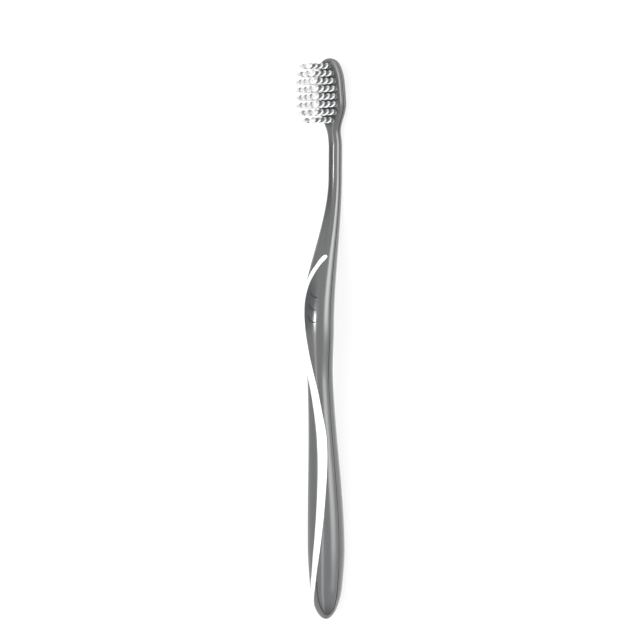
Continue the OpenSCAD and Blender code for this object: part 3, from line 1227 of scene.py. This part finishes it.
class TuftTree(GrowTree):
    """Geometry tree that grows a tuft on every point of its seed mesh."""

    PAINTED_LIGHT_AND_SHADE = "crown"
    PAINTED_GLOW = "lift"
    RANDOM_NUMBER = 1

    def __init__(self, shape: TuftShape, lean: float, finish: Material) -> None:
        """Make the whole tree.

        Args:
            shape: Sizes of the tuft.
            lean: Angle in degrees by which the tufts lean towards the grip.
            finish: Material of the strands.
        """
        values = {
            "Strands": shape.strands,
            "Length": shape.length * MM,
            "Sink": shape.sink * MM,
            "Lead": shape.lead * MM,
            "Start Turn": math.radians(shape.start_turn),
            "Bundle Radius": shape.bundle_radius * MM,
            "Coil Radius": shape.coil_radius * MM,
            "Coil Run": shape.coil_run * MM,
            "Strand Radius": shape.strand_radius * MM,
            "Length Spread": shape.length_spread * MM,
            "Lean": (0.0, math.radians(-lean), 0.0),
            "Seed": shape.seed,
            "Finish": finish,
        }
        super().__init__("corkscrew_tuft", values)
        self.light = shape.light
        strands, number, share = self.copied_line(shape.rings, self["Strands"])
        spot = self.spot(number, share)
        placed = self.out("GeometryNodeSetPosition", {"Geometry": strands, "Position": spot})
        outline = {"Resolution": shape.sides, "Radius": self["Strand Radius"]}
        circle = self.out("GeometryNodeCurvePrimitiveCircle", outline)
        swept = self.swept(placed, circle, self.smooth_range(share, *shape.taper_run, 1.0, shape.end_size))
        # painted light and shade of the strands, then their painted glow
        marked = self.marked(swept, self.PAINTED_LIGHT_AND_SHADE, self.crown())
        marked = self.marked(marked, self.PAINTED_GLOW, self.lift())
        roots = self.out("GeometryNodeMeshToPoints", {"Mesh": self["Geometry"]})
        turned = self.out("FunctionNodeEulerToRotation", {"Euler": self["Lean"]})
        given = {"Points": roots, "Instance": self.smooth(marked), "Rotation": turned}
        self.close(self.out("GeometryNodeInstanceOnPoints", given))

    def spot(self, number: Wire, share: Wire) -> Wire:
        """Place of a strand's point, on a corkscrew that stands where the strand has its foot.

        Args:
            number: Number of the strand.
            share: Share of the strand's length.

        Returns:
            The place.
        """
        spread = {"Min": self["Length Spread"] * -1.0, "Max": 0.0, "ID": number, "Seed": self["Seed"]}
        shorter = self.out("FunctionNodeRandomValue", spread, self.RANDOM_NUMBER, data_type="FLOAT")
        height = share * (self["Length"] + self["Sink"] + shorter) - self["Sink"]
        x, y = self.foot(number)
        turn = height / self["Lead"] * (-2 * math.pi) + self["Start Turn"]
        coil = self.smooth_range(height, 0.0, self["Coil Run"], 0.0, self["Coil Radius"])
        return self.vector(x + coil * self.math("COSINE", turn), y + coil * self.math("SINE", turn), height)

    def foot(self, number: Wire) -> tuple[Wire, Wire]:
        """Place of a strand in its bundle, on the spiral that fills a disc evenly.

        Args:
            number: Number of the strand.

        Returns:
            The place along the brush and across it.
        """
        fill = self.math("SQRT", (number + 0.5) / self["Strands"])
        ring = fill * (self["Bundle Radius"] - self["Strand Radius"])
        golden = number * (math.pi * (3 - math.sqrt(5)))
        return ring * self.math("COSINE", golden), ring * self.math("SINE", golden)

    def place(self) -> tuple[Wire, Wire, Wire]:
        """Where a point lies in its tuft.

        Returns:
            How far out it lies, from 0 in the clefts to 1 on the crests, its share of the tuft's length,
            and its share of the tuft's radius towards the tip of the head.
        """
        x, y, z = self.split(self.out("GeometryNodeInputPosition"))
        radius = self.math("SQRT", x * x + y * y)
        full = self["Bundle Radius"] + self["Coil Radius"]
        return self.smooth_range(radius / full, *self.light.crests), z / self["Length"], x / full

    def crown(self) -> Wire:
        """How much painted light a point of the tuft takes against painted shade.

        Returns:
            A share from 0 for painted shade in the clefts to 1 on the crests and the cut ends; the side
            towards the head's tip gets painted shade too.
        """
        light = self.light
        outer, share, side = self.place()
        core = self.smooth_range(abs(side), *light.core, *light.core_painted_light)
        upper = self.smooth_range(share, *light.upper) * core
        shade = self.smooth_range(side, *light.side, *light.side_painted_shade)
        body = self.math("MAXIMUM", outer, upper) * shade
        return self.math("MAXIMUM", body, self.smooth_range(share, *light.cut_end))

    def lift(self) -> Wire:
        """How much painted glow a point gives off.

        Returns:
            A share from 0 to 1, which is largest on the crests towards the grip.
        """
        outer, share, side = self.place()
        tip = self.smooth_range(share, *self.light.painted_glow_end, 0.0, self.light.painted_end_glow)
        return self.math("MAXIMUM", tip, outer * self.smooth_range(side, *self.light.painted_glow_side))


@dataclass(frozen=True)
class TuftField:
    """Rows of tufts on the face of the head."""

    counts: tuple[int, ...] = (2, 3, 4, 4, 4, 4, 3, 2)
    span_shares: tuple[float, ...] = (0.39, 0.73, 0.9, 1.0, 1.0, 1.0, 0.79, 0.44)
    full_span: float = 7.6
    row_pitch: float = 2.56
    first_row_gap: float = 2.9
    hole_d: float = 1.75
    shape: TuftShape = field(default_factory=TuftShape)

    @property
    def face_len(self) -> float:
        """Length of the level face that the rows need."""
        return self.first_row_gap + (len(self.counts) - 1) * self.row_pitch + self.hole_d / 2

    def roots(self, form: HandleForm) -> Iterable[tuple[str, Vector]]:
        """Name of each tuft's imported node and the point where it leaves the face.

        Args:
            form: The handle's form.

        Yields:
            Node name and point in metres.
        """
        for row, (count, span_share) in enumerate(zip(self.counts, self.span_shares)):
            along = form.head_front_len - self.first_row_gap - row * self.row_pitch
            along /= math.cos(math.radians(form.head_tilt))
            for n in range(count):
                across = self.full_span * span_share * (n / (count - 1) - 0.5)
                yield f"tuft_row_{row + 1}_{n + 1}", form.face_point(along, across)

    def build(self, form: HandleForm, finish: Material) -> list[Piece]:
        """Make every tuft as a piece of its own.

        Args:
            form: The handle's form.
            finish: Material of the strands.

        Returns:
            The finished pieces.
        """
        tree = TuftTree(self.shape, form.head_tilt, finish)
        pieces = []
        for node, root in self.roots(form):
            seed = bpy.data.meshes.new(f"{node}_root")
            seed.from_pydata([root], [], [])
            piece = tree.grow(node.replace("tuft_", "bristles_"), seed)
            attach(piece, ROOT_BODY)
            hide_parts(node)
            pieces.append(piece)
        return pieces


class Anchors:
    """Flat metal anchors at the feet of the tufts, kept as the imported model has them."""

    @staticmethod
    def dress(nodes: dict[str, Piece], finish: Material) -> list[Piece]:
        """Give the anchors their finish.

        Args:
            nodes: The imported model's nodes by name.
            finish: Their material.

        Returns:
            The dressed nodes.
        """
        dressed = [nodes[name] for name in sorted(nodes) if name.startswith("anchors_")]
        for node in dressed:
            node.data.materials.clear()
            node.data.materials.append(finish)
        return dressed


@dataclass(frozen=True)
class SkyGlow:
    """A soft light source in the surroundings that runs the whole length of the brush.

    Its turn is the angle round the brush in degrees: 0 is level on the near side, and 90 is overhead.
    """

    turn: float
    full: float
    reach: float
    level: float
    along_middle: float = 0.0
    along_full: float = 0.4
    along_reach: float = 0.9

    def build(self, graph: NodeGraph, turn: Wire, along: Wire) -> Wire:
        """Brightness that the source adds in a direction.

        Args:
            graph: Graph of the surroundings.
            turn: Angle of the direction round the brush, in degrees.
            along: Component of the direction along the brush.

        Returns:
            The brightness.
        """
        bright = graph.smooth_range(abs(turn - self.turn), self.full, self.reach, self.level, 0.0)
        off = abs(along - self.along_middle)
        return bright * graph.smooth_range(off, self.along_full, self.along_reach, 1.0, 0.0)


@dataclass(frozen=True)
class Studio:
    """Plain pale floor, soft surroundings and the camera."""

    image_size: int = 640
    sensor: float = 36.0
    camera_distance: float = 0.6
    camera_elevation: float = 45.0
    camera_roll: float = 0.435
    camera_clip: Span = (0.01, 20.0)
    millimetres_per_pixel: float = 0.334
    aim_mm: Point = (6.2, 0.0, 8.55)
    floor_size: float = 6.0
    floor_paint: float = 0.25
    floor_glow: float = 0.8
    bounce_paint: float = 0.85
    sky: float = 0.95
    glows: tuple[SkyGlow, ...] = (
        SkyGlow(-2.0, 10.0, 37.0, 5.8, along_middle=0.45, along_full=0.2, along_reach=0.95),
        SkyGlow(-95.0, 30.0, 45.0, 0.4),
        SkyGlow(108.0, 3.0, 12.0, 1.8, along_middle=-0.4, along_full=0.3, along_reach=0.5),
        SkyGlow(108.0, 4.0, 9.0, 22.0, along_middle=0.085, along_full=0.045, along_reach=0.1),
        SkyGlow(108.0, 2.0, 7.0, 9.0, along_middle=-0.02, along_full=0.05, along_reach=0.11),
        SkyGlow(140.0, 22.0, 36.0, -0.9, along_middle=0.15, along_full=0.14, along_reach=0.28),
        SkyGlow(-135.0, 16.0, 40.0, -0.9, along_full=0.7, along_reach=1.0),
    )

    def camera(self) -> None:
        """Set the camera, turned so that the brush stands upright in the picture."""
        lens = bpy.data.cameras.new("camera")
        lens.sensor_width = self.sensor
        seen = self.image_size * self.millimetres_per_pixel * MM
        lens.lens = self.sensor * self.camera_distance / seen
        lens.clip_start, lens.clip_end = self.camera_clip
        turn, roll = math.radians(self.camera_elevation), math.radians(self.camera_roll)
        back = Vector((0.0, -math.cos(turn), math.sin(turn)))
        along = Vector((1.0, 0.0, 0.0))
        level = along.cross(back)
        right = level * math.cos(roll) + along * math.sin(roll)
        up = along * math.cos(roll) - level * math.sin(roll)
        camera = bpy.data.objects.new("camera", lens)
        axes = Matrix((right, up, back)).transposed()
        aim = Vector(self.aim_mm) * MM
        camera.matrix_world = Matrix.Translation(aim + back * self.camera_distance) @ axes.to_4x4()
        bpy.context.scene.collection.objects.link(camera)
        bpy.context.scene.camera = camera

    def floor(self) -> None:
        """Lay the floor, white to the eye but with the brush's soft shadow."""
        half = self.floor_size / 2
        corners = [(-half, -half, 0.0), (half, -half, 0.0), (half, half, 0.0), (-half, half, 0.0)]
        floor = mesh_object("floor", corners, [(0, 1, 2, 3)])
        material = bpy.data.materials.new("pale_floor")
        material.use_nodes = True
        material.node_tree.nodes.clear()
        graph = NodeGraph(material.node_tree)
        seen = graph.out("ShaderNodeLightPath", output="Is Camera Ray")
        tone = self.bounce_paint - seen * (self.bounce_paint - self.floor_paint)
        paint = graph.out("ShaderNodeBsdfDiffuse", {"Color": graph.vector(tone, tone, tone)})
        glow = graph.out("ShaderNodeEmission", {"Strength": seen * self.floor_glow})
        both = graph.out("ShaderNodeAddShader", {0: paint, 1: glow})
        graph.add("ShaderNodeOutputMaterial", {"Surface": both})
        floor.data.materials.append(material)
        floor.visible_glossy = False

    def world(self) -> None:
        """Make the soft surroundings with their broad light sources, white to the camera."""
        world = bpy.data.worlds.new("surroundings")
        world.use_nodes = True
        world.node_tree.nodes.clear()
        graph = NodeGraph(world.node_tree)
        x, y, z = graph.split(graph.out("ShaderNodeTexCoord", output="Generated"))
        turn = graph.math("DEGREES", graph.math("ARCTAN2", z, y * -1.0))
        level = self.sky
        for glow in self.glows:
            level = graph.math("ADD", level, glow.build(graph, turn, x))
        seen = graph.out("ShaderNodeLightPath", output="Is Camera Ray")
        strength = graph.math("MAXIMUM", level * (1.0 - seen), seen)
        shine = graph.out("ShaderNodeBackground", {"Color": (1.0, 1.0, 1.0, 1.0), "Strength": strength})
        graph.add("ShaderNodeOutputWorld", {"Surface": shine})
        bpy.context.scene.world = world

    def build(self) -> None:
        """Set up the whole studio."""
        self.camera()
        self.floor()
        self.world()
        bpy.context.scene.view_settings.view_transform = "Standard"


def report(piece: Piece) -> None:
    """Log a piece's name and how many faces it has."""
    LOG.info("%s: %d faces", piece.name, len(piece.data.polygons))


def main() -> None:
    """Load the frame, dress the brush piece by piece, and set up the studio."""
    logging.basicConfig(level=logging.INFO, format="%(name)s: %(message)s")
    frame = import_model()
    low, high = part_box("handle_body")
    tufts = TuftField()
    form = HandleForm(length=(high.x - low.x) / MM, face_len=tufts.face_len)
    course = RibbonCourse()
    smoke = SmokePlastic().build()

    handle = Handle(form, course).build(smoke)
    report(handle)
    report(Ribbon(form, course).build(WhiteInlay().build()))
    report(ThumbRibs().build(form, handle, smoke))
    for piece in tufts.build(form, WhiteNylon().build()):
        report(piece)
    for piece in Anchors.dress(frame["nodes"], AnchorBrass().build()):
        report(piece)
    Studio().build()


if __name__ == "__main__":
    main()
